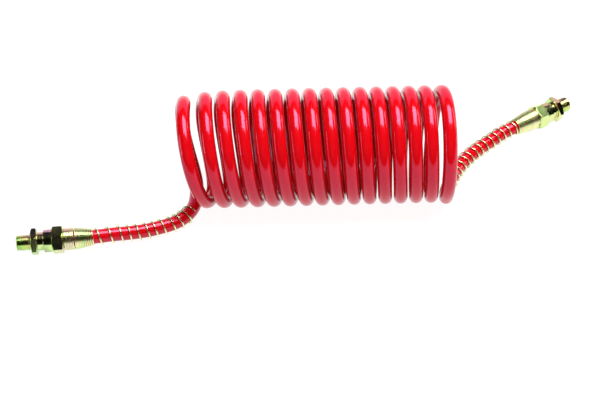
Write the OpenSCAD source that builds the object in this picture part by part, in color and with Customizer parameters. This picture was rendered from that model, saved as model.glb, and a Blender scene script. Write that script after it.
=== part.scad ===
// Coiled air hose with a threaded compression fitting and a spring kink guard at each end.
// Millimetres. +X runs along the coil, +Z is up, and the coil lies on the plane z = 0.

/* [Hose] */
// Outer diameter of the hose
hose_d = 12; // [11:0.5:12.5]
// Wall thickness of the hose
hose_wall = 1.5; // [1:0.25:2.5]

/* [Coil] */
// Diameter of a turn, measured to the middle of the hose
turn_d = 91; // [80:1:110]
// Distance from one turn to the next, in the middle of the coil
turn_pitch = 14.2; // [14:0.2:18]
// How much closer each turn lies to the next than the one before it did
pitch_fade = 0.105; // [0:0.005:0.11]
// Whole turns from the lowest point of the first to the lowest point of the last
turns = 16; // [8:1:20]
// Part of the last turn that is left out, where the hose swings away to the right
last_turn_cut = 0.16; // [0.12:0.01:0.2]
// How far a turn leans to the left for each millimetre of height
turn_lean = 0.06; // [0:0.01:0.12]
// How much that lean falls from one turn to the next, measured from mid height
turn_fan = 0.008; // [0:0.002:0.01]
// How far the middle turn swings to the right for each millimetre of depth
turn_yaw = 0.04; // [-0.05:0.01:0.06]
// Gain of that swing from one turn to the next
yaw_gain = 0.002; // [0:0.001:0.006]
// How far the front of the first turn is drawn to the left
first_draw = 4.5; // [0:0.5:6]
// How far the front of the last turn is drawn to the right
last_draw = 2; // [0:0.5:6]
// How far the far side of the turns is drawn to the left, fading to nothing along the coil
far_draw = 9; // [0:0.5:10]
// How much further the far side of the first turn is drawn to the left
first_far_draw = 4; // [0:0.5:6]
// How much tighter the start of the first turn is than the rest, on the radius
first_tuck = 3.5; // [0:0.5:6]

/* [Threaded stud] */
// Diameter of the port thread
port_thread_d = 14; // [13:0.5:16]
// Length of the port thread, tip to hexagon
port_thread_len = 12.2; // [10:0.2:16]
// Diameter of the hidden thread that the union nut turns on
union_thread_d = 18; // [17.5:0.1:19]
// Thickness of the stud's hexagon
stud_hex_len = 5.6; // [4:0.2:8]
// Length of the waist between the hexagon and the union nut
waist_len = 5.2; // [4:0.2:8]
// Depth of the waist below the union thread, on the radius
waist_depth = 1.1; // [0.6:0.1:1.2]
// Diameter of the air bore
air_bore_d = 8; // [5:0.5:8]

/* [Union nut] */
// Metal outside the union thread at a flat of either hexagon, on the radius
hex_wall = 1.5; // [1.25:0.25:3]
// Length of the nut's hexagon
nut_hex_len = 9.8; // [8:0.2:14]
// Thickness of the nut's floor, which pushes the clamping ring
nut_floor = 1.5; // [1:0.1:2.5]
// Length of the round skirt in front of the hexagon
skirt_len = 6.8; // [5:0.2:10]
// Length of the cone at the skirt's mouth
skirt_cone_len = 3; // [1:0.5:4]
// Length of the spigot behind the hexagon
spigot_len = 8.5; // [6:0.5:12]
// Wall thickness of the spigot
spigot_wall = 1.05; // [0.8:0.05:1.5]

/* [Guard spring] */
// Diameter of the spring wire
wire_d = 1.5; // [1.2:0.1:1.5]
// Distance between the close-wound curls
close_pitch = 2.3; // [2.2:0.05:2.6]
// Number of close-wound curls on the nut's spigot
spigot_curls = 4; // [3:0.5:5]
// Number of close-wound curls in the taper
taper_curls = 6; // [5:0.5:7]
// Distance between the open curls
open_pitch = 7.2; // [6:0.1:7.5]
// Number of open curls on the left tail
left_open_curls = 12; // [8:1:12]
// Number of open curls on the right tail
right_open_curls = 14; // [8:1:14]

/* [Ring and sleeve] */
// Length of the clamping ring
ring_len = 5; // [4:0.5:5]
// Height of the ring's collar above the hose
ring_rise = 1.6; // [1.2:0.1:1.8]
// Length of the support sleeve inside the hose
sleeve_len = 16; // [10:1:20]
// Wall thickness of the support sleeve
sleeve_wall = 0.8; // [0.5:0.1:1]
// Thickness of the sleeve's flange
flange_t = 1; // [0.5:0.1:1.5]

/* [Clearances] */
// Gap on the radius between the nut's thread and the stud's
thread_clear = 0.06; // [0.02:0.01:0.1]
// Gap on the radius where the hose passes through metal
hose_clear = 0.1; // [0.05:0.01:0.2]
// Gap between the guard spring and what it lies round
spring_clear = 0.25; // [0.2:0.05:0.4]

/* [Hidden] */

$fn = 96;
hose_r = hose_d / 2;
bore_r = hose_r - hose_wall;

// Colours
hose_red = [0.86, 0.05, 0.07];
zinc_gold = [0.78, 0.72, 0.42];
brass_yellow = [0.83, 0.66, 0.32];

// Detail of the wound tubes: a loop is a turn of the coil, a curl is a turn of a spring
loop_rings = 20;
curl_rings = 7;
wound_sides = 6;
wound_start = 180 / wound_sides;
tail_sides = 12;
tail_steps = 2;
part_turn = 0.5;
way_step = 0.02;

// Shape of the first and last turns: middle and half width of the drawn fronts, fade of the tuck
// and of the first far draw, turns that the far draw reaches, and how softly it begins and ends
first_front = 0.575;
last_front = turns + first_front - 1;
front_half = 0.4;
tuck_fade = 0.9;
far_fade = 0.6;
far_turns = 12;
far_ease = 1.5;
far_end = 4;

// Fitting: places along its axis, counted from the tip of the port thread inwards
stud_hex_end = port_thread_len + stud_hex_len;
nut_front = stud_hex_end + waist_len;
skirt_end = nut_front + skirt_len;
nut_hex_end = skirt_end + nut_hex_len;
nut_seat = nut_hex_end - nut_floor;
ring_back = nut_seat - hose_clear;
ring_front = ring_back - ring_len;
ring_collar_len = 1.5;
stud_end = ring_back - ring_collar_len;
spigot_end = nut_hex_end + spigot_len;
hose_end = nut_front + flange_t;
socket_floor = hose_end - flange_t - hose_clear;
spring_start = nut_hex_end + spring_clear + wire_d / 2;
mouth = spring_start + (spigot_curls + taper_curls) * close_pitch;

// Fitting: radii and small details
port_r = port_thread_d / 2;
union_r = union_thread_d / 2;
waist_r = union_r - waist_depth;
relief_depth = 0.8;
relief_len = 1.2;
tip_chamfer = 1;
socket_r = hose_r + hose_clear;
snug = 0.02;
seat_half_angle = 12;
seat_flare = 0.9;
seat_mouth_r = hose_r + seat_flare;
seat_depth = (seat_mouth_r - socket_r) / tan(seat_half_angle);
ring_r = hose_r + ring_rise;
nut_bore_r = union_r + thread_clear;
skirt_inset = 0.7;
hex_af = union_thread_d + 2 * hex_wall;
skirt_r = hex_af / 2 - skirt_inset;
skirt_lip = 0.7;
skirt_mouth_r = nut_bore_r + skirt_lip;
spigot_bore_r = hose_r + 1.5 * hose_clear;
spigot_edge = 0.4;
ring_nose_wall = 0.15;
flange_inset = 0.2;
spigot_r = spigot_bore_r + spigot_wall;
hex_chamfer_angle = 30;
hex_half_side = 180 / 6;
hex_face_inset = 0.5;
weld = 0.5;

// Spring radii, widened so that its straight facets clear what is inside them
facet_widen = 1 / cos(180 / curl_rings);
close_r = (spigot_r + spring_clear + wire_d / 2) * facet_widen;
open_r = (hose_r + spring_clear + wire_d / 2) * facet_widen;

// Where the fittings lie. A turn of 0 lays a hexagon on one of its flats.
left_heading = 184.5;
right_heading = 30.8;
left_stud_turn = 5;
left_nut_turn = 2;
right_stud_turn = 8;
right_nut_turn = -23;
hex_corner_r = hex_af / sqrt(3);
most_turn = max([for (t = [left_stud_turn, left_nut_turn, right_stud_turn, right_nut_turn]) abs(t)]);
lift = 0.03;
axis_z = hex_corner_r * cos(hex_half_side - most_turn) + lift;

// The coil is cut flat where it lies on the ground
coil_flat = hose_d / 10;
coil_low_z = hose_r - coil_flat;
end_turn = turns - last_turn_cut;

// Tips of the studs: reach along the coil from the lowest points of its first and last turns,
// and place across the coil
left_reach = 147.8;
left_side = -69.2;
right_reach = 124.7;
right_side = 98.8;
left_tip = [coil_x(0) - left_reach, left_side, axis_z];
right_tip = [coil_x(turns) + right_reach, right_side, axis_z];

// Free stretches, from the same lowest points: hand-set places between mouth and coil
left_bends = [
    [-67, -60.5, 10.9], [-53, -57.9, 9.6], [-39.5, -54.8, 8.8], [-27, -51, 8.7],
    [-14.5, -45.8, 8.7], [-5, -37.2, 8.7], [0.4, -25.6, 7.2]
];
right_bends = [
    [58, 59.9, 10.6], [47, 51.2, 9.6], [36, 42.6, 9], [26, 33.4, 8.8],
    [17, 23.3, 8.7], [9, 12.2, 8.7], [2.4, -0.3, 8.2], [-3.2, -14.5, 8.2]
];

// Unit vector along v
function unit(v) = v / norm(v);

// Hump of height 1 over a turn's front, centred on turn number c
function hump(n, c) = abs(n - c) < front_half ? pow(cos((n - c) / front_half * 90), 2) : 0;

// How far the hose is drawn to the left on the far side: nothing at the lowest and highest points
function far_drawn(n, rise) =
    (far_draw * max(1 - n / far_turns, 0) + first_far_draw * exp(-n / far_fade))
    * pow(max(sin(n * 360), 0), far_ease) * (1 - pow(rise / turn_d, far_end));

// Radius of the coil at turn number n
function coil_r(n) = turn_d / 2 - first_tuck * exp(-n / tuck_fade);

// X of the coil's bare lowest point at turn number n
function coil_x(n) = let(m = n - turns / 2)
    turn_pitch * m + pitch_fade / 2 * (pow(turns / 2, 2) - m * m);

// Centre of the hose at turn number n: up the far side, over the top and down the near side
function coil_at(n) = let(
    depth = coil_r(n) * sin(n * 360),
    rise = coil_r(n) * (1 - cos(n * 360)),
    swing = (turn_yaw + yaw_gain * (n - turns / 2)) * depth,
    fanned = turn_fan * (n - turns / 2) * (rise - turn_d / 2),
    drawn = last_draw * hump(n, last_front) - first_draw * hump(n, first_front) - far_drawn(n, rise)
) [coil_x(n) + swing - turn_lean * rise + fanned + drawn, depth, coil_low_z + rise];

// Outward direction of the coil at turn number n
function coil_out(n) = [0, sin(n * 360), -cos(n * 360)];

// Direction of travel along the coil at turn number n
function coil_way(n) = unit(coil_at(n + way_step / 2) - coil_at(n - way_step / 2));

// Faces between the tail and the coil
left_join = coil_at(0) - hose_d * coil_way(0);
right_join = coil_at(end_turn) + hose_d * coil_way(end_turn);

// Direction from a fitting's tip towards its hose
function inwards(heading) = -[cos(heading), sin(heading), 0];

// Place on a fitting's axis, s inwards from the tip
function on_axis(tip, heading, s) = tip + s * inwards(heading);

// Route of a free stretch: straight through the fitting, round the bends, square to the coil
axis_step = (mouth - hose_end) / 3;
function route(tip, heading, base, bends, join, way) = concat(
    [for (i = [0:3]) on_axis(tip, heading, hose_end + i * axis_step)],
    [for (b = bends) [base, 0, 0] + b],
    [join]
);
left_route = route(left_tip, left_heading, coil_x(0), left_bends, left_join);
right_route = route(right_tip, right_heading, coil_x(turns), right_bends, right_join);
left_end_way = coil_way(0);
right_end_way = -coil_way(end_turn);

// Point before the first or after the last of a route, to lead the curve in and out straight
function route_point(p, end_way, i) =
    i < 0 ? 2 * p[0] - p[1] :
    i >= len(p) ? p[len(p) - 1] + end_way * norm(p[len(p) - 1] - p[len(p) - 2]) :
    p[i];

// Smooth curve through a route, at place u counted in route points
function route_at(p, end_way, u) = let(
    i = min(max(floor(u), 0), len(p) - 2),
    t = u - i,
    a = route_point(p, end_way, i - 1),
    b = p[i],
    c = p[i + 1],
    d = route_point(p, end_way, i + 2)
) b + t / 2 * ((c - a) + t * ((2 * a - 5 * b + 4 * c - d) + t * (3 * (b - c) + d - a)));

// Direction of travel along a route at place u
function route_way(p, end_way, u) =
    u <= 0 ? unit(p[1] - p[0]) :
    u >= len(p) - 1 ? end_way :
    unit(route_at(p, end_way, u + way_step) - route_at(p, end_way, u - way_step));

// Level and upright directions across a direction of travel
function across(way) = unit(cross([0, 0, 1], way));
function above(way) = cross(way, across(way));

// Ring of points round c, starting at direction a and turning towards b
function ring(c, a, b, r, sides, start) = [
    for (k = [0:sides - 1]) let(q = start + k * 360 / sides) c + r * (cos(q) * a + sin(q) * b)
];

// Closed tube through a list of rings with the same number of points
module tube(rings) {
    sides = len(rings[0]);
    last = (len(rings) - 1) * sides;
    skin = [
        for (i = [0:len(rings) - 2])
            for (k = [0:sides - 1])
                let(a = i * sides + k, b = i * sides + (k + 1) % sides)
                    each [[a, a + sides, b], [b, a + sides, b + sides]]
    ];
    start_cap = [for (k = [1:sides - 2]) [0, k, k + 1]];
    end_cap = [for (k = [1:sides - 2]) [last, last + k + 1, last + k]];
    polyhedron(points = [for (r = rings) each r], faces = concat(skin, start_cap, end_cap));
}

// Least gap of a wound tube to itself, on its centre points, at least part of a turn apart
function least_gap(points, per_turn, d) = let(skip = round(per_turn * part_turn)) min([
    for (i = [0:len(points) - 1 - skip])
        for (j = [i + skip:min(i + 2 * per_turn, len(points) - 1)])
            norm(points[i] - points[j])
]) - d;

// Coil: places of its rings, by turn number
coil_steps = ceil(end_turn * loop_rings);
coil_numbers = [for (i = [0:coil_steps]) i * end_turn / coil_steps];
coil_centres = [for (n = coil_numbers) coil_at(n)];
echo(hose_coil_least_gap = least_gap(coil_centres, loop_rings, hose_d));

function coil_ring(c, n) =
    ring(c, coil_out(n), unit(cross(coil_way(n), coil_out(n))), hose_r, wound_sides, wound_start);

// Guard spring: distance, radius and centre of the wire at curl number k
function curl_s(k) = let(close = min(k, spigot_curls + taper_curls))
    spring_start + close * close_pitch + (k - close) * open_pitch;
function curl_r(k) = let(t = (k - spigot_curls) / taper_curls)
    close_r + (open_r - close_r) * min(max(t, 0), 1);
function curl_u(k) = (curl_s(k) - hose_end) / axis_step;
function curl_out(p, end_way, k) = let(way = route_way(p, end_way, curl_u(k)))
    cos(k * 360) * across(way) + sin(k * 360) * above(way);
function curl_at(p, end_way, k) =
    route_at(p, end_way, curl_u(k)) + curl_r(k) * curl_out(p, end_way, k);
function curl_count(open) = spigot_curls + taper_curls + open;
function curl_numbers(open) = let(steps = round(curl_count(open) * curl_rings))
    [for (i = [0:steps]) i * curl_count(open) / steps];
echo(guard_spring_left_least_gap = least_gap(
    [for (k = curl_numbers(left_open_curls)) curl_at(left_route, left_end_way, k)],
    curl_rings, wire_d));
echo(guard_spring_right_least_gap = least_gap(
    [for (k = curl_numbers(right_open_curls)) curl_at(right_route, right_end_way, k)],
    curl_rings, wire_d));

// Moves a shape drawn along +X, from the tip inwards, to its fitting
module at_fitting(tip, heading) {
    translate(tip) rotate([0, 0, heading + 180]) children();
}

// Cylinder along +X from a to b
module rod(a, b, r) {
    translate([a, 0, 0]) rotate([0, 90, 0]) cylinder(h = b - a, r = r);
}

// Shape turned round the X axis from points of distance and radius
module turned(points) {
    rotate([0, 90, 0]) rotate([0, 0, 180]) rotate_extrude()
        polygon([for (p = points) [p[1], p[0]]]);
}

// Hexagon along +X from a to b with both faces chamfered by a pair of cones
module hexagon(a, b, turn) {
    face_r = hex_af / 2 - hex_face_inset;
    cone_r = face_r + (b - a) / 2 / tan(hex_chamfer_angle);
    intersection() {
        translate([a, 0, 0]) rotate([turn + hex_half_side, 0, 0]) rotate([0, 90, 0])
            cylinder(h = b - a, r = hex_corner_r, $fn = 6);
        turned([[a, 0], [a, face_r], [(a + b) / 2, cone_r], [b, face_r], [b, 0]]);
    }
}

// Stud: port thread, hexagon, waist and union thread, with the air bore and the hose's socket
module threaded_stud(turn) {
    relief_start = port_thread_len - relief_len;
    difference() {
        union() {
            turned([
                [0, 0], [0, port_r - tip_chamfer], [tip_chamfer, port_r], [relief_start, port_r],
                [relief_start, port_r - relief_depth],
                [port_thread_len + weld, port_r - relief_depth], [port_thread_len + weld, 0]
            ]);
            hexagon(port_thread_len, stud_hex_end, turn);
            rod(stud_hex_end - weld, nut_front + weld, waist_r);
            turned([
                [nut_front, 0], [nut_front, waist_r],
                [nut_front + waist_depth, union_r], [stud_end - waist_depth, union_r],
                [stud_end, waist_r], [stud_end, 0]
            ]);
        }
        rod(-1, stud_end, air_bore_d / 2);
        rod(socket_floor, stud_end + 1, socket_r);
        turned([
            [stud_end - seat_depth, 0], [stud_end - seat_depth, socket_r],
            [stud_end, seat_mouth_r], [stud_end + 1, seat_mouth_r], [stud_end + 1, 0]
        ]);
    }
}

// Union nut: coned skirt, hexagon and a spigot that the guard spring lies round
module union_nut(turn) {
    difference() {
        union() {
            turned([
                [nut_front, 0], [nut_front, skirt_mouth_r],
                [nut_front + skirt_cone_len, skirt_r], [skirt_end + weld, skirt_r], [skirt_end + weld, 0]
            ]);
            hexagon(skirt_end, nut_hex_end, turn);
            turned([
                [nut_hex_end - weld, 0], [nut_hex_end - weld, spigot_r],
                [spigot_end - spigot_edge, spigot_r],
                [spigot_end, spigot_r - spigot_edge], [spigot_end, 0]
            ]);
        }
        rod(nut_front - 1, nut_seat, nut_bore_r);
        rod(nut_seat - 1, spigot_end + 1, spigot_bore_r);
    }
}

// Clamping ring: a cone that lies in the stud's seat, and a collar that the nut pushes
module clamping_ring() {
    nose_r = seat_mouth_r - (stud_end - ring_front) * tan(seat_half_angle) - hose_clear;
    difference() {
        turned([
            [ring_front, 0], [ring_front, max(nose_r, hose_r + ring_nose_wall)],
            [stud_end, seat_mouth_r - hose_clear],
            [stud_end + hose_clear, seat_mouth_r - hose_clear],
            [stud_end + hose_clear, ring_r], [ring_back, ring_r], [ring_back, 0]
        ]);
        rod(ring_front - 1, ring_back + 1, hose_r + snug);
    }
}

// Support sleeve: a flanged liner pushed into the hose
module support_sleeve() {
    sleeve_r = bore_r - snug;
    flange_r = hose_r - flange_inset;
    difference() {
        turned([
            [hose_end - flange_t, 0], [hose_end - flange_t, flange_r],
            [hose_end, flange_r], [hose_end, sleeve_r],
            [hose_end + sleeve_len, sleeve_r], [hose_end + sleeve_len, 0]
        ]);
        rod(hose_end - flange_t - 1, hose_end + sleeve_len + 1, sleeve_r - sleeve_wall);
    }
}

// Free stretch of hose, with the bore that takes the support sleeve
module hose_tail(route, end_way, tip, heading) {
    steps = (len(route) - 1) * tail_steps;
    difference() {
        tube([
            for (i = [0:steps]) let(u = i / tail_steps, way = route_way(route, end_way, u))
                ring(route_at(route, end_way, u), across(way), above(way), hose_r, tail_sides, 0)
        ]);
        at_fitting(tip, heading) rod(hose_end - 1, hose_end + sleeve_len + 1, bore_r);
    }
}

// Guard spring, close-wound on the nut and open along the hose
module guard_spring(route, end_way, open) {
    numbers = curl_numbers(open);
    tube([
        for (k = numbers) let(
            c = curl_at(route, end_way, k),
            way = unit(
                curl_at(route, end_way, k + way_step) - curl_at(route, end_way, k - way_step)
            ),
            out = curl_out(route, end_way, k),
            side = unit(cross(way, out))
        ) ring(c, cross(side, way), side, wire_d / 2, wound_sides, wound_start)
    ]);
}

module hose_coil() {
    ground = 2 * turns * turn_pitch;
    color(hose_red) difference() {
        tube(concat(
            [coil_ring(left_join, 0)],
            [for (n = coil_numbers) coil_ring(coil_at(n), n)],
            [coil_ring(right_join, end_turn)]
        ));
        translate([-ground / 2, -turn_d, -hose_d]) cube([ground, 2 * turn_d, hose_d]);
    }
}

module hose_tail_left() {
    color(hose_red) difference() {
        hose_tail(left_route, left_end_way, left_tip, left_heading);
        translate([-turn_d, -turn_d, -hose_d] + left_join)
            cube([2 * turn_d, 2 * turn_d, hose_d - left_join.z]);
    }
}

module hose_tail_right() {
    color(hose_red) hose_tail(right_route, right_end_way, right_tip, right_heading);
}

module threaded_stud_left() {
    color(zinc_gold) at_fitting(left_tip, left_heading) threaded_stud(left_stud_turn);
}

module union_nut_left() {
    color(zinc_gold) at_fitting(left_tip, left_heading) union_nut(left_nut_turn);
}

module clamping_ring_left() {
    color(brass_yellow) at_fitting(left_tip, left_heading) clamping_ring();
}

module support_sleeve_left() {
    color(brass_yellow) at_fitting(left_tip, left_heading) support_sleeve();
}

module guard_spring_left() {
    color(zinc_gold) guard_spring(left_route, left_end_way, left_open_curls);
}

module threaded_stud_right() {
    color(zinc_gold) at_fitting(right_tip, right_heading) threaded_stud(right_stud_turn);
}

module union_nut_right() {
    color(zinc_gold) at_fitting(right_tip, right_heading) union_nut(right_nut_turn);
}

module clamping_ring_right() {
    color(brass_yellow) at_fitting(right_tip, right_heading) clamping_ring();
}

module support_sleeve_right() {
    color(brass_yellow) at_fitting(right_tip, right_heading) support_sleeve();
}

module guard_spring_right() {
    color(zinc_gold) guard_spring(right_route, right_end_way, right_open_curls);
}

hose_coil();
hose_tail_left();
hose_tail_right();
threaded_stud_left();
union_nut_left();
clamping_ring_left();
support_sleeve_left();
guard_spring_left();
threaded_stud_right();
union_nut_right();
clamping_ring_right();
support_sleeve_right();
guard_spring_right();
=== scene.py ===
"""Coiled air hose with a threaded compression fitting and a spring kink guard at each end.

All lengths are metres in the part's own frame: +X along the coil, +Z up, and the coil lies on z = 0.
"""
import logging
import math
from dataclasses import dataclass, field
from enum import Enum

import bpy
import numpy as np
from mathutils import Matrix, Quaternion, Vector


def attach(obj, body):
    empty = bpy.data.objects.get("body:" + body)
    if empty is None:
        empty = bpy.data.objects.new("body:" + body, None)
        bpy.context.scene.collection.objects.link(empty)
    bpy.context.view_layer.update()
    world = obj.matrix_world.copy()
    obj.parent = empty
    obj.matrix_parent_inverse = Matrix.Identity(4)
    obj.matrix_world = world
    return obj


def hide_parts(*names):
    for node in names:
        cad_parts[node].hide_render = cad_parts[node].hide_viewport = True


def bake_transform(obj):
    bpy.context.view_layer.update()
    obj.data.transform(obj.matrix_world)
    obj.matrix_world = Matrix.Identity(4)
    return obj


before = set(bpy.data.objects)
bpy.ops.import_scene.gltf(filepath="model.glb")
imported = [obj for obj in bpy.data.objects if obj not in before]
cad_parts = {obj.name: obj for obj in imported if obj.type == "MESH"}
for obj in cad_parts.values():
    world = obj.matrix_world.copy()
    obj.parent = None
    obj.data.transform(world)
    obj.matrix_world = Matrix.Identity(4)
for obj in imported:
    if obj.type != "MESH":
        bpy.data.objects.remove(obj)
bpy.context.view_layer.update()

log = logging.getLogger("air_hose")

MM = 0.001
TAU = 2 * math.pi
SMOOTH_ANGLE = math.radians(32)

Point = tuple[float, float, float]
Colour = tuple[float, float, float]


class End(Enum):
    """The two ends of the hose."""

    LEFT = "left"
    RIGHT = "right"


class Slot(Enum):
    """Material slots of the part's record."""

    HOSE = "hose_red"
    STEEL = "zinc_steel"
    WIRE = "zinc_wire"
    BRASS = "brass"


# ---------------------------------------------------------------- arrays


def unit(v: np.ndarray) -> np.ndarray:
    """Each vector of v divided by its own length."""
    return v / np.linalg.norm(v, axis=-1, keepdims=True)


def smoothstep(t: np.ndarray) -> np.ndarray:
    """Three t squared minus two t cubed, with t held between 0 and 1."""
    t = np.clip(t, 0.0, 1.0)
    return t * t * (3 - 2 * t)


def arc_lengths(points: np.ndarray) -> np.ndarray:
    """Distance along a line of points, from 0 at its first point."""
    steps = np.linalg.norm(np.diff(points, axis=0), axis=1)
    return np.concatenate([[0.0], np.cumsum(steps)])


def tangents(points: np.ndarray) -> np.ndarray:
    """Unit direction of travel at each point, from the points on both sides of it."""
    return unit(np.gradient(points, axis=0))


def sweep(
    centres: np.ndarray, a: np.ndarray, b: np.ndarray, radii: np.ndarray, q: np.ndarray
) -> np.ndarray:
    """Rings of points along a line.

    Formula: centre + radius * (cos q * a + sin q * b), for each centre and each angle q.

    Args:
        centres: One centre per ring, shape (rings, 3).
        a: Direction of angle 0 in each ring, shape (rings, 3).
        b: Direction of a quarter turn in each ring, shape (rings, 3).
        radii: Radius, one per ring or one per ring and angle.
        q: Angles round a ring, in radians.

    Returns:
        Points of shape (rings, angles, 3).
    """
    radii = np.asarray(radii, float)
    if radii.ndim < 2:
        radii = np.broadcast_to(radii.reshape(-1, 1), (len(centres), len(q)))
    spoke = np.cos(q)[None, :, None] * a[:, None, :] + np.sin(q)[None, :, None] * b[:, None, :]
    return centres[:, None, :] + radii[:, :, None] * spoke


class Ends(Enum):
    """How the first and last ring of a grid are closed."""

    CAPPED = "capped"
    JOINED = "joined"


def grid_mesh(name: str, points: np.ndarray, ends: Ends) -> bpy.types.Object:
    """Closed mesh through a grid of rings.

    Corner (i, j) joins (i, j + 1), (i + 1, j + 1) and (i + 1, j). Columns run all the way round.

    Args:
        name: Name of the new piece.
        points: Rings of points, shape (rings, angles, 3).
        ends: Capped ends get a face each; joined ends meet each other.

    Returns:
        The new object, at the origin.
    """
    rings, cols = points.shape[:2]
    last = rings if ends is Ends.JOINED else rings - 1
    i, j = np.meshgrid(np.arange(last), np.arange(cols), indexing="ij")
    i2, j2 = (i + 1) % rings, (j + 1) % cols
    quads = np.stack([i * cols + j, i * cols + j2, i2 * cols + j2, i2 * cols + j], -1).reshape(-1, 4)
    faces = quads.tolist()
    if ends is Ends.CAPPED:
        faces.append(list(range(cols))[::-1])
        faces.append(list(range((rings - 1) * cols, rings * cols)))
    mesh = bpy.data.meshes.new(name)
    mesh.from_pydata(points.reshape(-1, 3).tolist(), [], faces)
    mesh.polygons.foreach_set("use_smooth", np.ones(len(faces), bool))
    mesh.update()
    mesh.set_sharp_from_angle(angle=SMOOTH_ANGLE)
    obj = bpy.data.objects.new(name, mesh)
    bpy.context.scene.collection.objects.link(obj)
    return obj


# ---------------------------------------------------------------- where the hose runs


@dataclass(frozen=True)
class Coil:
    """The wound middle of the hose: a right-handed helix along X, with turn number n from 0."""

    turn_d: float = 91 * MM
    pitch: float = 14.2 * MM
    fade: float = 0.105 * MM
    turns: int = 16
    cut: float = 0.16
    lean: float = 0.06
    fan: float = 0.008
    yaw: float = 0.04
    yaw_gain: float = 0.002
    first_draw: float = 4.5 * MM
    last_draw: float = 2 * MM
    far_draw: float = 9 * MM
    far_turns: float = 12
    first_far_draw: float = 4 * MM
    far_fade: float = 0.6
    far_ease: float = 1.5
    far_end: float = 4
    first_tuck: float = 3.5 * MM
    tuck_fade: float = 0.9
    front: float = 0.575
    front_half: float = 0.4
    low_z: float = 6 * MM

    @property
    def end_turn(self) -> float:
        """Turn number where the hose leaves the coil."""
        return self.turns - self.cut

    def x(self, n: np.ndarray) -> np.ndarray:
        """Pitch * m + fade / 2 * ((turns / 2)^2 - m^2), where m is n - turns / 2."""
        m = n - self.turns / 2
        return self.pitch * m + self.fade / 2 * ((self.turns / 2) ** 2 - m * m)

    def hump(self, n: np.ndarray, c: float) -> np.ndarray:
        """Squared cosine of height 1 round turn number c, and 0 elsewhere."""
        t = (n - c) / self.front_half
        return np.where(np.abs(t) < 1, np.cos(t * math.pi / 2) ** 2, 0.0)

    def far_drawn(self, n: np.ndarray, rise: np.ndarray) -> np.ndarray:
        """How far the hose is drawn to the left on the far side.

        Formula: a draw that fades along the coil, plus more at the first turn, times a power of the sine
        of the turn angle, times 1 - (rise / turn_d) ^ far_end, so the lowest and highest points stay put.

        Args:
            n: Turn numbers.
            rise: Height above the turn's lowest point, for each.

        Returns:
            Distances.
        """
        reach = self.far_draw * np.maximum(1 - n / self.far_turns, 0)
        first = self.first_far_draw * np.exp(-n / self.far_fade)
        behind = np.maximum(np.sin(n * TAU), 0) ** self.far_ease
        return (reach + first) * behind * (1 - (rise / self.turn_d) ** self.far_end)

    def at(self, n: np.ndarray) -> np.ndarray:
        """Centre of the hose at turn number n.

        Formula: r is turn_d / 2 less a tuck that fades after the first turn; depth is
        r sin(turn angle) and rise is r (1 - cos(turn angle)); x is the turn's own x,
        swung by depth, leaned back by rise, fanned out above mid height, drawn out at the first and
        last fronts, and drawn to the left on the far side.

        Args:
            n: Turn numbers.

        Returns:
            Points of shape (len(n), 3).
        """
        r = self.turn_d / 2 - self.first_tuck * np.exp(-n / self.tuck_fade)
        depth, rise = r * np.sin(n * TAU), r * (1 - np.cos(n * TAU))
        m = n - self.turns / 2
        swing = (self.yaw + self.yaw_gain * m) * depth
        fanned = self.fan * m * (rise - self.turn_d / 2)
        first = self.first_draw * self.hump(n, self.front)
        last = self.last_draw * self.hump(n, self.turns + self.front - 1)
        x = self.x(n) + swing - self.lean * rise + fanned + last - first - self.far_drawn(n, rise)
        return np.stack([x, depth, self.low_z + rise], -1)

    def way(self, n: float, step: float = 0.01) -> np.ndarray:
        """Direction of travel at turn number n."""
        p = self.at(np.array([n - step, n + step]))
        return unit(p[1] - p[0])


@dataclass(frozen=True)
class Layout:
    """Where a fitting lies, and the bends of the free stretch between it and the coil.

    Heading and turns are degrees; the bends are millimetres from (base, 0, 0).
    """

    end: End
    tip: Point
    heading: float
    base: float
    bends: tuple[Point, ...]
    stud_turn: float
    nut_turn: float

    @property
    def inwards(self) -> np.ndarray:
        """Direction from the tip of the thread towards the hose."""
        h = math.radians(self.heading)
        return -np.array([math.cos(h), math.sin(h), 0.0])

    def on_axis(self, s: float) -> np.ndarray:
        """Place on the fitting's axis, s inwards from the tip."""
        return np.array(self.tip) + s * self.inwards

    @property
    def across(self) -> np.ndarray:
        """Level direction across the fitting."""
        return unit(np.cross([0.0, 0.0, 1.0], self.inwards))


AXIS_Z = 12.064 * MM
COIL_HALF = 113.6 * MM
JOIN_LEAD = 12 * MM
LEFT = Layout(
    end=End.LEFT,
    tip=(-COIL_HALF - 147.8 * MM, -69.2 * MM, AXIS_Z),
    heading=184.5,
    base=-COIL_HALF,
    bends=(
        (-67, -60.5, 10.9),
        (-53, -57.9, 9.6),
        (-39.5, -54.8, 8.8),
        (-27, -51, 8.7),
        (-14.5, -45.8, 8.7),
        (-5, -37.2, 8.7),
        (0.4, -25.6, 7.2),
    ),
    stud_turn=5,
    nut_turn=2,
)
RIGHT = Layout(
    end=End.RIGHT,
    tip=(COIL_HALF + 124.7 * MM, 98.8 * MM, AXIS_Z),
    heading=30.8,
    base=COIL_HALF,
    bends=(
        (58, 59.9, 10.6),
        (47, 51.2, 9.6),
        (36, 42.6, 9),
        (26, 33.4, 8.8),
        (17, 23.3, 8.7),
        (9, 12.2, 8.7),
        (2.4, -0.3, 8.2),
        (-3.2, -14.5, 8.2),
    ),
    stud_turn=8,
    nut_turn=-23,
)


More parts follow.
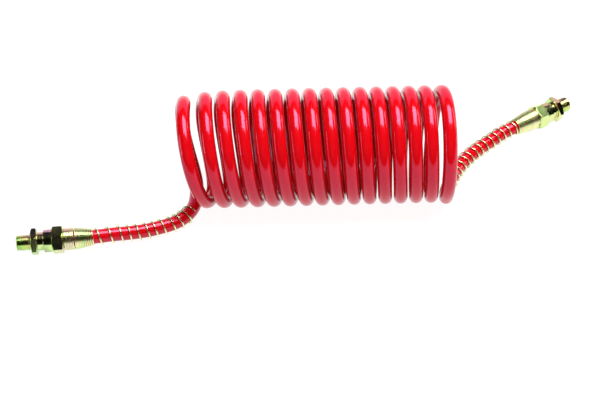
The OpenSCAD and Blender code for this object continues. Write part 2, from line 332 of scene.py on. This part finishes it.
@dataclass(frozen=True)
class Route:
    """A free stretch of hose as a smooth curve from the fitting to the coil."""

    layout: Layout
    join: Point
    end_way: Point
    hose_end: float = 24 * MM
    mouth: float = 63.6 * MM
    leads: int = 3

    @property
    def step(self) -> float:
        """Distance between the route points on the fitting's axis."""
        return (self.mouth - self.hose_end) / self.leads

    def knots(self) -> np.ndarray:
        """Route points, with one more before and after them that lead the curve in and out straight.

        Returns:
            Points of shape (spans + 3, 3).
        """
        lay = self.layout
        p = [lay.on_axis(self.hose_end + i * self.step) for i in range(self.leads + 1)]
        p += [np.array([lay.base, 0, 0]) + np.array(b) * MM for b in lay.bends]
        p.append(np.array(self.join))
        reach = np.linalg.norm(p[-1] - p[-2])
        return np.array([2 * p[0] - p[1], *p, p[-1] + np.array(self.end_way) * reach])

    @property
    def spans(self) -> int:
        """Number of spans between route points."""
        return self.leads + len(self.layout.bends) + 1

    def at(self, u: np.ndarray) -> np.ndarray:
        """Point at place u, counted in route points.

        Formula: uniform Catmull-Rom, b + t/2 ((c - a) + t ((2a - 5b + 4c - d) + t (3(b - c) + d - a))).

        Args:
            u: Places, from 0 at the fitting to spans at the coil.

        Returns:
            Points of shape (len(u), 3).
        """
        k = self.knots()
        i = np.clip(np.floor(u).astype(int), 0, self.spans - 1)
        t = (u - i)[:, None]
        a, b, c, d = k[i], k[i + 1], k[i + 2], k[i + 3]
        return b + t / 2 * ((c - a) + t * ((2 * a - 5 * b + 4 * c - d) + t * (3 * (b - c) + d - a)))

    def along(self, s: np.ndarray) -> np.ndarray:
        """Point at distance s from the tip, where a route point's step counts as the axis step."""
        return self.at((s - self.hose_end) / self.step)


# ---------------------------------------------------------------- finishes


class Sock:
    """A shader socket that is written in plain arithmetic."""

    def __init__(self, graph: "Graph", socket: bpy.types.NodeSocket) -> None:
        """Wraps one output socket of a graph."""
        self.graph, self.socket = graph, socket

    def _op(self, kind: str, *values: "Sock | float") -> "Sock":
        """Adds a Math node of that kind."""
        return self.graph.node("ShaderNodeMath", {"operation": kind}, dict(enumerate(values)))

    def __add__(self, other: "Sock | float") -> "Sock":
        """self + other."""
        return self._op("ADD", self, other)

    __radd__ = __add__

    def __mul__(self, other: "Sock | float") -> "Sock":
        """self * other."""
        return self._op("MULTIPLY", self, other)

    __rmul__ = __mul__


class Graph:
    """The node graph of one material."""

    def __init__(self, name: str) -> None:
        """Makes an empty material of that name with its output and principled shader."""
        self.material = bpy.data.materials.new(name)
        self.material.use_nodes = True
        self.tree = self.material.node_tree
        self.tree.nodes.clear()
        self.out = self.tree.nodes.new("ShaderNodeOutputMaterial")
        self.shader = self.tree.nodes.new("ShaderNodeBsdfPrincipled")
        self.tree.links.new(self.shader.outputs[0], self.out.inputs[0])

    def put(self, target: bpy.types.Node, key: "str | int", value: object) -> None:
        """Sets a node's input.

        Args:
            target: The node.
            key: Name or number of the input.
            value: A number, a colour or the output of another node.
        """
        if isinstance(value, Sock):
            self.tree.links.new(value.socket, target.inputs[key])
        else:
            target.inputs[key].default_value = value

    def node(
        self, kind: str, settings: dict | None = None, inputs: dict | None = None, output: "str | int" = 0
    ) -> Sock:
        """Adds a node.

        Args:
            kind: Blender's name of the node type.
            settings: The node's own properties, or the stops of a ramp under "stops".
            inputs: Values or links of its input sockets, by name or number.
            output: The output that the result stands for.

        Returns:
            The chosen output, ready for arithmetic.
        """
        made = self.tree.nodes.new(kind)
        for key, value in (settings or {}).items():
            if key == "stops":
                ramp = made.color_ramp
                while len(ramp.elements) < len(value):
                    ramp.elements.new(1.0)
                for element, (place, colour) in zip(ramp.elements, value):
                    element.position, element.color = place, (*colour, 1.0)
            else:
                setattr(made, key, value)
        for key, value in (inputs or {}).items():
            self.put(made, key, value)
        return Sock(self, made.outputs[output])

    def mix(self, mask: "Sock | float", a: "Sock | tuple", b: "Sock | tuple") -> Sock:
        """Colour a where mask is 0 and b where it is 1."""
        return self.node("ShaderNodeMix", {"data_type": "RGBA"}, {0: mask, 6: a, 7: b}, 2)

    def noise(self, coords: Sock, scale: float, detail: float = 2.0, roughness: float = 0.5) -> Sock:
        """Smooth random value between 0 and 1."""
        inputs = {"Vector": coords, "Scale": scale, "Detail": detail, "Roughness": roughness}
        return self.node("ShaderNodeTexNoise", None, inputs)

    def bump(self, height: Sock, strength: float, distance: float) -> Sock:
        """Normal that follows a height."""
        inputs = {"Height": height, "Strength": strength, "Distance": distance}
        return self.node("ShaderNodeBump", None, inputs)

    def place(self, output: str) -> Sock:
        """Texture coordinates of that name."""
        return self.node("ShaderNodeTexCoord", None, None, output)

    def dress(self, **values: object) -> bpy.types.Material:
        """Sets the principled shader's sockets.

        Args:
            values: Value of each socket, under its name with _ for a space.

        Returns:
            The material.
        """
        for key, value in values.items():
            self.put(self.shader, key.replace("_", " "), value)
        return self.material


@dataclass(frozen=True)
class HoseFinish:
    """Glossy red polyurethane."""

    red: Colour = (0.52, 0.0015, 0.004)
    deep_red: Colour = (0.46, 0.001, 0.003)
    gloss_tint: Colour = (1.0, 0.55, 1.0)
    ior: float = 1.55
    cloud_scale: float = 35.0
    roughness: float = 0.10
    rough_gain: float = 0.06
    rough_scale: float = 90.0
    ripple_scale: float = 60.0
    ripple_strength: float = 0.06
    ripple_depth: float = 0.4 * MM

    def build(self) -> bpy.types.Material:
        """Red with a faint cloudiness, and a gloss that varies a little along the hose.

        Returns:
            The material.
        """
        g = Graph("hose_red_gloss")
        here = g.place("Object")
        cloud = g.noise(here, self.cloud_scale, 3.0)
        colour = g.mix(cloud, (*self.red, 1), (*self.deep_red, 1))
        rough = self.roughness + self.rough_gain * g.noise(here, self.rough_scale)
        ripple = g.bump(g.noise(here, self.ripple_scale, 1.0), self.ripple_strength, self.ripple_depth)
        return g.dress(
            Base_Color=colour,
            Roughness=rough,
            Normal=ripple,
            IOR=self.ior,
            Specular_Tint=(*self.gloss_tint, 1),
        )


@dataclass(frozen=True)
class ChromateFinish:
    """Zinc plate with a yellow chromate film that shifts between gold, lime, olive and mauve."""

    name: str = "zinc_chromate"
    gold: Colour = (0.74, 0.70, 0.32)
    lime: Colour = (0.58, 0.80, 0.30)
    olive: Colour = (0.36, 0.46, 0.20)
    mauve: Colour = (0.52, 0.46, 0.48)
    tint_places: tuple[float, ...] = (0.3, 0.43, 0.55, 0.7)
    patch_scale: float = 55.0
    patch_contrast: float = 0.6
    roughness: float = 0.13
    rough_gain: float = 0.08
    rough_scale: float = 150.0
    mark_scale: float = 500.0
    mark_strength: float = 0.04
    mark_depth: float = 0.05 * MM
    film: float = 430.0
    film_ior: float = 1.8

    def build(self) -> bpy.types.Material:
        """Patches of the four tints under a thin film, on metal with fine machining marks.

        Returns:
            The material.
        """
        g = Graph(self.name)
        here = g.place("Object")
        patch = g.noise(here, self.patch_scale, 2.0, self.patch_contrast)
        stops = list(zip(self.tint_places, (self.mauve, self.gold, self.lime, self.olive)))
        tint = g.node("ShaderNodeValToRGB", {"stops": stops}, {0: patch})
        rough = self.roughness + self.rough_gain * g.noise(here, self.rough_scale)
        marks = g.bump(g.noise(here, self.mark_scale, 1.0), self.mark_strength, self.mark_depth)
        return g.dress(
            Base_Color=tint,
            Metallic=1.0,
            Roughness=rough,
            Normal=marks,
            Thin_Film_Thickness=self.film,
            Thin_Film_IOR=self.film_ior,
        )


@dataclass(frozen=True)
class BrassFinish:
    """Turned brass, a little dull."""

    bright: Colour = (0.80, 0.60, 0.27)
    dull: Colour = (0.62, 0.42, 0.17)
    patch_scale: float = 250.0
    roughness: float = 0.24
    rough_gain: float = 0.15
    rough_scale: float = 900.0

    def build(self) -> bpy.types.Material:
        """Two brass tones in soft patches.

        Returns:
            The material.
        """
        g = Graph("turned_brass")
        here = g.place("Object")
        tone = g.mix(g.noise(here, self.patch_scale, 3.0), (*self.bright, 1), (*self.dull, 1))
        rough = self.roughness + self.rough_gain * g.noise(here, self.rough_scale)
        return g.dress(Base_Color=tone, Metallic=1.0, Roughness=rough)


def dress(obj: bpy.types.Object, material: bpy.types.Material) -> None:
    """Dresses a piece.

    Args:
        obj: The piece.
        material: Its one material.
    """
    obj.data.materials.clear()
    obj.data.materials.append(material)


# ---------------------------------------------------------------- the hose


@dataclass
class Hose:
    """The whole hose in one piece: left tail, coil and right tail."""

    coil: Coil
    left: Route
    right: Route
    material: bpy.types.Material
    outer_r: float = 6 * MM
    bore_r: float = 4.5 * MM
    ring_gap: float = 3.2 * MM
    sides: int = 32
    exit_s: float = 49 * MM
    length: float = 4.87
    ramp_turns: float = 0.5
    turn_blend: float = 45 * MM
    tail_samples: int = 900
    coil_samples: int = 12000
    join_samples: int = 400

    def centreline(self) -> tuple[np.ndarray, np.ndarray, np.ndarray]:
        """Evenly spaced points along the hose.

        Formula: left route, then the helix, then the right route backwards, sampled finely, walked
        again at equal distances and averaged once with their neighbours, weights 1, 2 and 1.

        Returns:
            Points, share of the coil's stretch at each point, and distance along the hose.
        """
        fine_left = self.left.at(np.linspace(0, self.left.spans, self.tail_samples))
        n = np.linspace(0, self.coil.end_turn, self.coil_samples)
        fine_coil = self.coil.at(n)
        fine_right = self.right.at(np.linspace(self.right.spans, 0, self.tail_samples))
        rate = np.clip(n / self.ramp_turns, 0, 1) * np.clip((n[-1] - n) / self.ramp_turns, 0, 1)
        share = np.cumsum(rate) / rate.sum()
        points = np.concatenate([fine_left, fine_coil, fine_right])
        shares = np.concatenate([np.zeros(len(fine_left)), share, np.ones(len(fine_right))])
        at = arc_lengths(points)
        rings = int(round(at[-1] / self.ring_gap))
        want = np.linspace(0, at[-1], rings + 1)
        even = np.stack([np.interp(want, at, points[:, k]) for k in range(3)], -1)
        even[1:-1] = (even[:-2] + 2 * even[1:-1] + even[2:]) / 4
        return even, np.interp(want, at, shares), want

    def sideways(self, points: np.ndarray, along: np.ndarray) -> np.ndarray:
        """Direction of angle 0 in each ring.

        Formula: up in the tails and +X in the coil, turned smoothly from one to the other near the
        joins, with its part along the hose taken away.

        Args:
            points: Ring centres.
            along: Distance of each along the hose.

        Returns:
            Unit vectors across the hose.
        """
        left_end, right_end = (
            arc_lengths(route.at(np.linspace(0, route.spans, self.join_samples)))[-1]
            for route in (self.left, self.right)
        )
        past_left = smoothstep((along - left_end) / self.turn_blend + 1)
        before_right = smoothstep((along[-1] - right_end - along) / self.turn_blend + 1)
        turn = (past_left * before_right)[:, None] * math.pi / 2
        lead = np.cos(turn) * np.array([0.0, 0.0, 1.0]) + np.sin(turn) * np.array([1.0, 0.0, 0.0])
        way = tangents(points)
        return unit(lead - np.sum(lead * way, 1, keepdims=True) * way)

    def build(self, carried: list[bpy.types.Object | str]) -> bpy.types.Object:
        """Makes the hose as one closed tube with its bore.

        Args:
            carried: The pieces that the hose carries; not used.

        Returns:
            The hose.
        """
        points, share, along = self.centreline()
        a = self.sideways(points, along)
        b = np.cross(tangents(points), a)
        q = np.linspace(0, TAU, self.sides, endpoint=False)
        outer = sweep(points, a, b, np.full(len(points), self.outer_r), q)
        bore = sweep(points, a, b, np.full(len(points), self.bore_r), q)[::-1]
        obj = grid_mesh("hose", np.concatenate([outer, bore]), Ends.JOINED)
        dress(obj, self.material)
        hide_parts("hose_coil", "hose_tail_left", "hose_tail_right")
        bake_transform(obj)
        tuple(self.left.layout.on_axis(self.exit_s))
        2 * self.outer_r
        log.info("hose: %.3f m in %d rings", along[-1], len(points))
        return obj


# ---------------------------------------------------------------- the fittings


@dataclass
class Lathe:
    """A shape built ring by ring along a fitting's axis, with sharp hexagons and real threads."""

    layout: Layout
    turn: float
    rows_s: list[np.ndarray] = field(default_factory=list)
    rows_r: list[np.ndarray] = field(default_factory=list)
    near_corner: tuple[float, ...] = (1, 2.2, 4, 6.5, 10, 14, 18, 22, 26)
    corner_r: float = 0.35 * MM
    edge_len: float = 1.5 * MM
    edge_rows: int = 16
    rows_per_pitch: int = 16
    groove_share: float = 0.9
    crest_share: float = 0.14
    root_ease: float = 1.1

    @property
    def q(self) -> np.ndarray:
        """Angles round the axis, crowded near the hexagon's corners.

        Returns:
            Angles in radians: a flat's middle, then the offsets before and after the corner, six times.
        """
        side = np.array(self.near_corner)
        offsets = np.concatenate([[-30], -side[::-1], [0], side])
        return np.radians((np.arange(6)[:, None] * 60 + offsets[None, :]).ravel() + self.turn)

    def hexagon(self, af: float) -> np.ndarray:
        """Radius of a hexagon with rounded corners at each angle.

        Formula: half the width over the cosine of the angle from a flat's middle; near a corner, the
        far side of a circle of radius corner_r that touches both flats.

        Args:
            af: Width across the flats.

        Returns:
            One radius per angle.
        """
        round_r = self.corner_r
        from_corner = (self.q - math.radians(self.turn) + math.pi / 6) % (math.pi / 3) - math.pi / 6
        flat = af / 2 / np.cos(math.pi / 6 - np.abs(from_corner))
        d = (af / 2 - round_r) / math.cos(math.pi / 6)
        inside = np.maximum(round_r**2 - (d * np.sin(from_corner)) ** 2, 0)
        arc = d * np.cos(from_corner) + np.sqrt(inside)
        touch = math.atan2(round_r / 2, d + round_r * math.cos(math.pi / 6))
        return np.where(np.abs(from_corner) < touch, np.minimum(arc, flat), flat)

    def ring(self, s: float, r: "float | np.ndarray") -> "Lathe":
        """Adds one ring.

        Args:
            s: Its distance from the tip.
            r: Its radius, or one radius per angle.

        Returns:
            The lathe itself.
        """
        self.rows_s.append(np.array([s]))
        self.rows_r.append(np.broadcast_to(np.asarray(r, float), (1, len(self.q))).copy())
        return self

    def rings(self, s: np.ndarray, r: np.ndarray) -> "Lathe":
        """Adds rings.

        Args:
            s: Their distances from the tip.
            r: One row of radii for each.

        Returns:
            The lathe itself.
        """
        self.rows_s.append(np.asarray(s, float))
        self.rows_r.append(np.broadcast_to(r, (len(s), len(self.q))).copy())
        return self

    def chamfered_hexagon(
        self, start: float, end: float, af: float, inset: float = 0.5 * MM, angle: float = 30
    ) -> "Lathe":
        """Adds a hexagon whose faces are cut back by cones at its corners.

        Formula: the smaller of the hexagon's radius and two cones that widen from each face.

        Args:
            start: Distance of the first face.
            end: Distance of the second face.
            af: Width across the flats.
            inset: How far inside the flats the cones meet the faces.
            angle: Angle of the cones against the faces, in degrees.

        Returns:
            The lathe itself.
        """
        face_r, slope = af / 2 - inset, 1 / math.tan(math.radians(angle))
        edge = np.linspace(0, self.edge_len, self.edge_rows)
        s = np.concatenate([start + edge, end - edge[::-1]])
        cone = face_r + np.minimum(s - start, end - s)[:, None] * slope
        return self.rings(s, np.minimum(self.hexagon(af)[None, :], cone))

    def thread(
        self,
        start: float,
        end: float,
        major_r: float,
        pitch: float,
        lead: float,
        runout: float,
        depth: float,
    ) -> "Lathe":
        """Adds a right-handed helical thread.

        Formula: a 60 degree profile with flat crests and rounded roots, at phase s / pitch - angle / turn,
        held inside a cone at its start and filled in over its run-out.

        Args:
            start: Distance where the thread begins.
            end: Distance where it ends.
            major_r: Radius of the crests.
            pitch: Distance from crest to crest.
            lead: Length of the chamfer at the start.
            runout: Length over which the groove fades at the end.
            depth: Depth of the groove.

        Returns:
            The lathe itself.
        """
        steps = int((end - start) / (pitch / self.rows_per_pitch))
        s = np.linspace(start, end, steps)[:, None]
        phase = (s / pitch - self.q[None, :] / TAU) % 1.0
        flank = 1 - self.crest_share
        groove = (0.5 - np.abs(phase - 0.5)) * 2 / self.groove_share - self.crest_share
        groove = np.sin(np.clip(groove, 0, flank) / flank * math.pi / 2) ** self.root_ease
        fade = np.clip((end - s) / runout, 0, 1) if runout else 1.0
        r = major_r - depth * groove * fade
        cone = major_r - np.maximum(lead - (s - start), 0)
        return self.rings(s[:, 0], np.minimum(r, cone))

    def build(self, name: str) -> bpy.types.Object:
        """Makes the piece. Its last ring joins its first, so the outline is a closed loop round the bore.

        Args:
            name: Name of the piece.

        Returns:
            The piece.
        """
        s, r = np.concatenate(self.rows_s), np.concatenate(self.rows_r)
        lay = self.layout
        centres = np.array(lay.tip)[None, :] + s[:, None] * lay.inwards[None, :]
        a = np.broadcast_to(lay.across, centres.shape)
        b = np.broadcast_to(np.cross(lay.inwards, lay.across), centres.shape)
        return grid_mesh(name, sweep(centres, a, b, r, self.q), Ends.JOINED)


@dataclass
class Fitting:
    """Compression fitting of one end: threaded stud, union nut, clamping ring and support sleeve."""

    layout: Layout
    steel: bpy.types.Material
    brass: bpy.types.Material
    port_r: float = 7 * MM
    port_len: float = 12.2 * MM
    pitch: float = 1.5 * MM
    port_lead: float = 1.0 * MM
    port_runout: float = 0.6 * MM
    port_cut: float = 0.85 * MM
    relief_len: float = 1.1 * MM
    relief_ease: float = 0.1 * MM
    relief_depth: float = 0.8 * MM
    union_lead: float = 0.3 * MM
    union_relief: float = 1.1 * MM
    union_cut: float = 0.8 * MM
    ring_step: float = 0.02 * MM
    bore_chamfer: float = 0.6 * MM
    stud_bevel: float = 0.25 * MM
    nut_bevel: float = 0.3 * MM
    hex_af: float = 21 * MM
    stud_hex_end: float = 17.8 * MM
    nut_front: float = 23 * MM
    skirt_end: float = 29.8 * MM
    nut_hex_end: float = 39.6 * MM
    stud_end: float = 36.5 * MM
    nut_seat: float = 38.1 * MM
    spigot_end: float = 48.1 * MM
    union_r: float = 9 * MM
    waist_r: float = 7.9 * MM
    bore_r: float = 4 * MM
    socket_r: float = 6.1 * MM
    socket_floor: float = 22.9 * MM
    seat_r: float = 6.9 * MM
    seat_depth: float = 3.76 * MM
    nut_bore_r: float = 9.06 * MM
    nut_bore_chamfer: float = 0.4 * MM
    skirt_r: float = 9.8 * MM
    skirt_mouth_r: float = 9.76 * MM
    skirt_mouth_len: float = 3 * MM
    skirt_mouth_edge: float = 0.2 * MM
    skirt_mouth_chamfer: float = 0.15 * MM
    skirt_ease: float = 0.06 * MM
    spigot_r: float = 7.2 * MM
    spigot_bore_r: float = 6.15 * MM
    spigot_chamfer: float = 0.4 * MM

    def stud(self) -> bpy.types.Object:
        """Port thread, relief, thin hexagon, waist, hidden union thread, seat, socket and air bore.

        Returns:
            The stud.
        """
        side = self.layout.end.value
        relief_r = self.port_r - self.relief_depth
        relief_start = self.port_len - self.relief_len
        waist_start = self.stud_hex_end + self.stud_bevel
        waist_end = self.nut_front - self.union_lead
        union_end = self.stud_end - self.union_relief
        cut = Lathe(self.layout, self.layout.stud_turn)
        cut.ring(self.bore_chamfer, self.bore_r).ring(0, self.bore_r + self.bore_chamfer)
        cut.ring(0, self.port_r - self.port_lead)
        cut.thread(
            self.ring_step,
            relief_start - self.relief_ease,
            self.port_r,
            self.pitch,
            self.port_lead,
            self.port_runout,
            self.port_cut,
        )
        cut.ring(relief_start, relief_r).ring(self.port_len, relief_r)
        cut.chamfered_hexagon(self.port_len, self.stud_hex_end, self.hex_af)
        cut.ring(self.stud_hex_end, self.waist_r + self.stud_bevel).ring(waist_start, self.waist_r)
        cut.ring(waist_end, self.waist_r)
        cut.thread(
            waist_end + self.ring_step,
            union_end,
            self.union_r,
            self.pitch,
            self.union_relief,
            0,
            self.union_cut,
        )
        cut.ring(self.stud_end, self.waist_r).ring(self.stud_end, self.seat_r)
        cut.ring(self.stud_end - self.seat_depth, self.socket_r)
        cut.ring(self.socket_floor, self.socket_r).ring(self.socket_floor, self.bore_r)
        obj = cut.build(f"stud_{side}")
        dress(obj, self.steel)
        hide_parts(f"threaded_stud_{side}")
        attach(obj, f"{side}_stud")
        return obj

    def nut(self) -> bpy.types.Object:
        """Coned skirt, hexagon and spigot round a threaded bore.

        Returns:
            The nut.
        """
        side = self.layout.end.value
        front, bevel = self.nut_front, self.nut_bevel
        cone_end = front + self.skirt_mouth_len
        cut = Lathe(self.layout, self.layout.nut_turn)
        cut.ring(front + self.nut_bore_chamfer, self.nut_bore_r).ring(front, self.nut_bore_r + bevel)
        cut.ring(front, self.skirt_mouth_r - self.skirt_mouth_chamfer)
        cut.ring(front + self.skirt_mouth_edge, self.skirt_mouth_r)
        cut.ring(cone_end - bevel, self.skirt_r - self.skirt_ease).ring(cone_end, self.skirt_r)
        cut.ring(self.skirt_end, self.skirt_r)
        cut.chamfered_hexagon(self.skirt_end, self.nut_hex_end, self.hex_af)
        cut.ring(self.nut_hex_end, self.spigot_r + bevel).ring(self.nut_hex_end + bevel, self.spigot_r)
        cut.ring(self.spigot_end - self.spigot_chamfer, self.spigot_r)
        cut.ring(self.spigot_end, self.spigot_r - self.spigot_chamfer)
        cut.ring(self.spigot_end, self.spigot_bore_r).ring(self.nut_seat, self.spigot_bore_r)
        cut.ring(self.nut_seat, self.nut_bore_r)
        obj = cut.build(f"nut_{side}")
        dress(obj, self.steel)
        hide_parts(f"union_nut_{side}")
        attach(obj, f"{side}_nut")
        return obj

    def brass_parts(self) -> list[bpy.types.Object]:
        """Dresses the clamping ring and the support sleeve, whose exact shapes stay as they are.

        Returns:
            Both pieces.
        """
        side = self.layout.end.value
        parts = [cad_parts[f"{kind}_{side}"] for kind in ("clamping_ring", "support_sleeve")]
        for part in parts:
            dress(part, self.brass)
        return parts

    def build(self) -> list[bpy.types.Object]:
        """Makes and dresses all four pieces.

        Returns:
            The pieces.
        """
        made = [self.stud(), self.nut(), *self.brass_parts()]
        log.info("%s fitting: %s", self.layout.end.value, ", ".join(o.name for o in made))
        return made


# ---------------------------------------------------------------- the guard springs


@dataclass
class GuardSpring:
    """Kink guard: wire wound closely on the nut's spigot, tapering, then open along the hose."""

    route: Route
    material: bpy.types.Material
    open_curls: float
    gap_width: float
    wire_r: float = 0.65 * MM
    start_s: float = 40.3 * MM
    close_pitch: float = 1.38 * MM
    close_curls: float = 16.4
    taper_from: float = 5.5
    close_r: float = 9.0 * MM
    end_r: float = 6.95 * MM
    open_r: float = 7.1 * MM
    open_pitch: float = 7.2 * MM
    gap_curl: float = 5.5
    gap_curls: float = 0.5
    loose_curls: float = 1.2
    waver: float = 0.35 * MM
    waver_rate: float = 2.3
    waver_curls: float = 3
    end_share: float = 0.75
    nudge: float = 0.05 * MM
    steps: int = 40
    sides: int = 12

    def curl_s(self, k: np.ndarray) -> np.ndarray:
        """Distance of curl number k from the tip.

        Formula: the close pitch, with gap_width added over gap_curls from gap_curl on, then a ramp over
        one curl to the open pitch, which wavers slightly.

        Args:
            k: Curl numbers.

        Returns:
            Distances.
        """
        gap = self.gap_width * smoothstep((k - self.gap_curl) / self.gap_curls)
        past = np.maximum(k - self.close_curls, 0)
        ease = np.where(past < 1, past * past / 2, past - 0.5)
        waver = self.waver * np.sin(past * self.waver_rate) * np.clip(past / self.waver_curls, 0, 1)
        close = self.start_s + k * self.close_pitch + gap
        return close + ease * (self.open_pitch - self.close_pitch) + waver

    def curl_r(self, k: np.ndarray) -> np.ndarray:
        """Radius of the wire's centre line at curl number k.

        Formula: the spigot's, then a straight taper, then the hose's.

        Args:
            k: Curl numbers.

        Returns:
            Radii.
        """
        taper = np.clip((k - self.taper_from) / (self.close_curls - self.taper_from), 0, 1)
        loose = smoothstep((k - self.close_curls) / self.loose_curls)
        return self.close_r + (self.end_r - self.close_r) * taper + (self.open_r - self.end_r) * loose

    def build(self) -> bpy.types.Object:
        """Makes the wire.

        Formula: the wire's centre circles the hose's own curve at curl angle k, and a ring of points is
        set square to it.

        Returns:
            The spring.
        """
        side = self.route.layout.end.value
        curls = self.close_curls + self.open_curls
        k = np.linspace(0, curls, int(curls * self.steps) + 1)
        s = self.curl_s(k)
        middle = self.route.along(s)
        way = unit(self.route.along(s + self.nudge) - self.route.along(s - self.nudge))
        across = unit(np.cross(np.array([0.0, 0.0, 1.0]), way))
        above = np.cross(way, across)
        out = np.cos(k * TAU)[:, None] * across + np.sin(k * TAU)[:, None] * above
        centre = middle + self.curl_r(k)[:, None] * out
        along = tangents(centre)
        b = unit(np.cross(along, out))
        a = np.cross(b, along)
        q = np.linspace(0, TAU, self.sides, endpoint=False)
        radii = np.full(len(k), self.wire_r)
        radii[[0, -1]] *= self.end_share
        obj = grid_mesh(f"spring_{side}", sweep(centre, a, b, radii, q), Ends.CAPPED)
        dress(obj, self.material)
        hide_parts(f"guard_spring_{side}")
        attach(obj, f"{side}_end")
        log.info("%s spring: %.1f curls of wire", side, curls)
        return obj


# ---------------------------------------------------------------- camera, floor and light


class Role(Enum):
    """What a soft light does."""

    LIGHTS = "lights"
    MIRRORED = "mirrored"
    BOTH = "both"


@dataclass(frozen=True)
class SoftLight:
    """Rectangular soft light; radiance 1 is about as bright as the floor."""

    name: str
    place: Point
    target: Point
    size: tuple[float, float]
    radiance: float
    role: Role
    colour: Colour = (1.0, 1.0, 1.0)
    roll: float = 0.0


LIGHTS = (
    SoftLight("overhead", (0.45, 0.14, 1.3), (0.45, 0.14, 0), (1.6, 0.95), 8.0, Role.LIGHTS),
    SoftLight("front_fill", (0.0, -1.6, 1.1), (0, 0, 0.05), (2.2, 1.0), 1.3, Role.LIGHTS),
    SoftLight("soft_box", (0.32, 0.2, 1.2), (0.32, 0.2, 0), (1.0, 0.8), 9.5, Role.MIRRORED),
    SoftLight("back_card", (0.0, 2.4, 0.9), (0, 0, 0.1), (5.0, 1.8), 1.0, Role.BOTH, (1.0, 0.62, 0.92)),
    SoftLight("left_strip", (-1.45, -0.19, 0.25), (0, 0, 0.05), (0.7, 0.2), 6.0, Role.MIRRORED, roll=-45),
    SoftLight("right_strip", (1.32, 0.46, 0.56), (0, 0, 0.05), (0.7, 0.2), 6.0, Role.MIRRORED, roll=45),
)


@dataclass(frozen=True)
class Studio:
    """White table under soft lights, seen from the front and well above."""

    eye: Point = (-0.051357, -0.854179, 0.793035)
    elevation: float = 43.265
    azimuth: float = -2.184
    lens: float = 78.0
    film_width: float = 36.0
    floor_size: float = 40.0
    floor_grey: float = 0.15
    floor_glow: float = 0.92
    world_glow: float = 0.42

    def camera(self) -> None:
        """Camera at the eye that looks down by the elevation and sideways by the azimuth."""
        data = bpy.data.cameras.new("camera")
        data.lens, data.sensor_width, data.sensor_fit = self.lens, self.film_width, "HORIZONTAL"
        data.clip_start, data.clip_end = 0.01, 50.0
        cam = bpy.data.objects.new("camera", data)
        e, az = math.radians(self.elevation), math.radians(self.azimuth)
        look = Vector((-math.sin(az) * math.cos(e), math.cos(az) * math.cos(e), -math.sin(e)))
        right = Vector((math.cos(az), math.sin(az), 0))
        up = right.cross(look)
        turn = Matrix((right, up, -look)).transposed().to_4x4()
        cam.matrix_world = Matrix.Translation(self.eye) @ turn
        bpy.context.scene.collection.objects.link(cam)
        bpy.context.scene.camera = cam

    def floor(self) -> None:
        """Plain pale floor at z = 0."""
        half = self.floor_size / 2
        corners = [(-half, -half, 0), (half, -half, 0), (half, half, 0), (-half, half, 0)]
        mesh = bpy.data.meshes.new("floor")
        mesh.from_pydata(corners, [], [(0, 1, 2, 3)])
        obj = bpy.data.objects.new("floor", mesh)
        bpy.context.scene.collection.objects.link(obj)
        pale = Graph("pale_floor").dress(
            Base_Color=(self.floor_grey, self.floor_grey, self.floor_grey, 1),
            Roughness=0.9,
            Specular_IOR_Level=0.0,
            Emission_Color=(1, 1, 1, 1),
            Emission_Strength=self.floor_glow,
        )
        obj.data.materials.append(pale)

    def soft_light(self, light: SoftLight) -> None:
        """Hangs one soft light.

        Args:
            light: The light to hang.
        """
        data = bpy.data.lights.new(light.name, "AREA")
        data.shape, data.size, data.size_y = "RECTANGLE", *light.size
        data.energy = light.radiance * math.pi * light.size[0] * light.size[1]
        data.color = light.colour
        obj = bpy.data.objects.new(light.name, data)
        facing = (Vector(light.target) - Vector(light.place)).to_track_quat("-Z", "Y")
        obj.location = light.place
        obj.rotation_euler = (facing @ Quaternion((0, 0, 1), math.radians(light.roll))).to_euler()
        obj.visible_glossy = light.role is not Role.LIGHTS
        obj.visible_diffuse = light.role is not Role.MIRRORED
        bpy.context.scene.collection.objects.link(obj)

    def build(self) -> None:
        """Sets up camera, floor, lights and plain colour handling."""
        self.camera()
        self.floor()
        for light in LIGHTS:
            self.soft_light(light)
        world = bpy.data.worlds.new("studio")
        world.use_nodes = True
        background = world.node_tree.nodes["Background"]
        background.inputs["Color"].default_value = (1, 1, 1, 1)
        background.inputs["Strength"].default_value = self.world_glow
        world.cycles_visibility.glossy = False
        bpy.context.scene.world = world
        bpy.context.scene.view_settings.view_transform = "Standard"
        log.info("studio: camera, floor and %d soft lights", len(LIGHTS))


def main() -> None:
    """Builds the studio, the finishes, both ends and the hose, in that order."""
    logging.basicConfig(level=logging.INFO, format="%(name)s: %(message)s")
    Studio().build()
    steel = ChromateFinish().build()
    wire = ChromateFinish(
        name="zinc_wire_chromate",
        gold=(0.88, 0.85, 0.46),
        lime=(0.68, 0.88, 0.42),
        olive=(0.56, 0.66, 0.34),
        mauve=(0.80, 0.74, 0.54),
        patch_scale=40.0,
        roughness=0.22,
        film=0.0,
    ).build()
    brass = BrassFinish().build()
    coil = Coil()
    first, last = (coil.at(np.array([n]))[0] for n in (0.0, coil.end_turn))
    first_way, last_way = coil.way(0.0), coil.way(coil.end_turn)
    left = Route(LEFT, tuple(first - JOIN_LEAD * first_way), tuple(first_way))
    right = Route(RIGHT, tuple(last + JOIN_LEAD * last_way), tuple(-last_way))
    Fitting(LEFT, steel, brass).build()
    left_spring = GuardSpring(left, wire, open_curls=12, gap_width=0.6 * MM).build()
    right_parts = Fitting(RIGHT, steel, brass).build()
    right_spring = GuardSpring(right, wire, open_curls=14, gap_width=0.0).build()
    Hose(coil, left, right, HoseFinish().build()).build([left_spring, *right_parts, right_spring])


if __name__ == "__main__":
    main()
